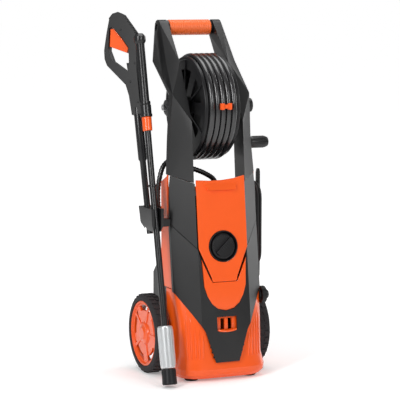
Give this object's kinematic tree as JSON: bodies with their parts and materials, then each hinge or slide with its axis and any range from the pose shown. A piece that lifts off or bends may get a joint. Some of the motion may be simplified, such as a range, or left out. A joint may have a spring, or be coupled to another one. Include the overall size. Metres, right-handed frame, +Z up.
{
  "type": "pressure washer",
  "caption": "Upright wheeled high-pressure cleaner with a hose reel between its uprights, a spray gun and lance in a side holder, and a cord on side hooks.",
  "frame": {"origin": "on the floor, under the middle of the machine's bounding box without its power cord", "axes": "+Z up; the front with the knob faces -Y; the gun and lance stand at -X, the crank and power cord at +X"},
  "size_m": [0.4059, 0.3262, 0.9206],
  "materials": {
    "orange_plastic": "moulded orange shell, satin to gloss, fine sheen",
    "orange_grip": "soft orange sleeve, satin",
    "black_plastic": "moulded black shell, fine grained satin",
    "dark_plastic": "dark moulded plastic, satin",
    "foot_rubber": "plain black rubber",
    "tyre_rubber": "black tread, matt",
    "hose_rubber": "black high-pressure hose, soft sheen",
    "cord_rubber": "black cord jacket, matt",
    "steel": "zinc-plated bright steel",
    "silver_sleeve": "bright silver nozzle sleeve",
    "cast_aluminium": "plain casting",
    "brass": "plain machined brass"
  },
  "bodies": {
    "chassis": {"base_tub": "orange_plastic", "left_front_foot": "foot_rubber", "right_front_foot": "foot_rubber", "front_fairing": "black_plastic", "centre_cover": "orange_plastic", "lower_cover": "orange_plastic", "left_column": "black_plastic", "right_column": "black_plastic", "rear_shell": "orange_plastic", "rear_housing": "black_plastic", "top_deck": "black_plastic", "left_upright": "black_plastic", "right_upright": "black_plastic", "left_arm": "black_plastic", "right_arm": "black_plastic", "handle_bar": "steel", "handle_grip": "orange_grip", "left_reel_bracket": "black_plastic", "right_reel_bracket": "black_plastic", "wheel_axle": "steel", "knob_bezel": "dark_plastic", "switch_box": "dark_plastic", "motor_body": "cast_aluminium", "pump_body": "cast_aluminium", "pump_head": "brass", "inlet_spigot": "black_plastic", "holder": "black_plastic", "connecting_hose": "hose_rubber", "hose_coupling": "black_plastic", "lower_cord_hook": "black_plastic", "power_cord_hank": "cord_rubber", "power_cord_tail": "cord_rubber", "plug_lead": "cord_rubber", "plug": "cord_rubber"},
    "left_wheel": {"left_tyre": "tyre_rubber", "left_rim": "orange_plastic"},
    "right_wheel": {"right_tyre": "tyre_rubber", "right_rim": "orange_plastic"},
    "reel": {"reel_axle": "steel", "left_reel_flange": "dark_plastic", "right_reel_flange": "dark_plastic", "reel_drum": "dark_plastic", "hose_coil": "hose_rubber", "hose_clip": "orange_plastic", "crank_arm": "black_plastic"},
    "crank_grip_body": {"crank_grip": "black_plastic"},
    "knob": {"power_knob": "dark_plastic"},
    "rotor": {"motor_shaft": "steel", "cooling_fan": "black_plastic"},
    "inlet_nut": {"inlet_ring": "dark_plastic"},
    "gun": {"gun_body": "black_plastic", "gun_barrel": "dark_plastic"},
    "trigger": {"gun_trigger": "orange_plastic"},
    "safety_latch": {"trigger_lock": "dark_plastic"},
    "lance": {"lance_tube": "dark_plastic", "lance_band": "orange_plastic", "lance_sleeve": "dark_plastic"},
    "nozzle": {"nozzle_sleeve": "silver_sleeve", "nozzle_tip": "dark_plastic"},
    "upper_hook": {"upper_cord_hook": "black_plastic"}
  },
  "joints": [
    {"name": "left_wheel_spin", "type": "hinge", "parent": "chassis", "child": "left_wheel", "pos_m": [-0.123, 0.0443, 0.102], "axis": [1, 0, 0], "continuous": true},
    {"name": "right_wheel_spin", "type": "hinge", "parent": "chassis", "child": "right_wheel", "pos_m": [0.157, 0.0443, 0.102], "axis": [1, 0, 0], "continuous": true},
    {"name": "reel_spin", "type": "hinge", "parent": "chassis", "child": "reel", "pos_m": [0.017, 0.0243, 0.681], "axis": [1, 0, 0], "continuous": true},
    {"name": "crank_grip_spin", "type": "hinge", "parent": "reel", "child": "crank_grip_body", "pos_m": [0.174, 0.0243, 0.585], "axis": [1, 0, 0], "continuous": true},
    {"name": "knob_turn", "type": "hinge", "parent": "chassis", "child": "knob", "pos_m": [0.017, -0.1057, 0.338], "axis": [0, -0.9936, 0.1133], "range_deg": [-90, 0]},
    {"name": "rotor_spin", "type": "hinge", "parent": "chassis", "child": "rotor", "pos_m": [0.017, -0.0107, 0.35], "axis": [0, 0, 1], "continuous": true},
    {"name": "inlet_nut_turn", "type": "hinge", "parent": "chassis", "child": "inlet_nut", "pos_m": [0.1465, -0.0597, 0.2], "axis": [1, 0, 0], "continuous": true},
    {"name": "gun_lift", "type": "slide", "parent": "chassis", "child": "gun", "axis": [0, 0.2494, 0.9684], "range_m": [0, 0.1]},
    {"name": "trigger_pull", "type": "hinge", "parent": "gun", "child": "trigger", "pos_m": [-0.15449, 0.10597, 0.82213], "axis": [0.7071, 0.6848, -0.1763], "range_deg": [0, 12], "stiffness_Nm_per_rad": 0.6},
    {"name": "safety_latch_turn", "type": "hinge", "parent": "gun", "child": "safety_latch", "pos_m": [-0.15555, 0.09428, 0.77248], "axis": [0.7071, 0.6848, -0.1763], "range_deg": [-20, 0]},
    {"name": "lance_pull", "type": "slide", "parent": "chassis", "child": "lance", "axis": [0, -1, 0], "range_m": [0, 0.06]},
    {"name": "nozzle_turn", "type": "hinge", "parent": "lance", "child": "nozzle", "pos_m": [-0.146, -0.1243, 0.1], "axis": [0, 0.2186, 0.9758], "range_deg": [0, 90]},
    {"name": "upper_hook_turn", "type": "hinge", "parent": "chassis", "child": "upper_hook", "pos_m": [0.154, 0.0123, 0.4575], "axis": [1, 0, 0], "range_deg": [0, 180]}
  ]
}
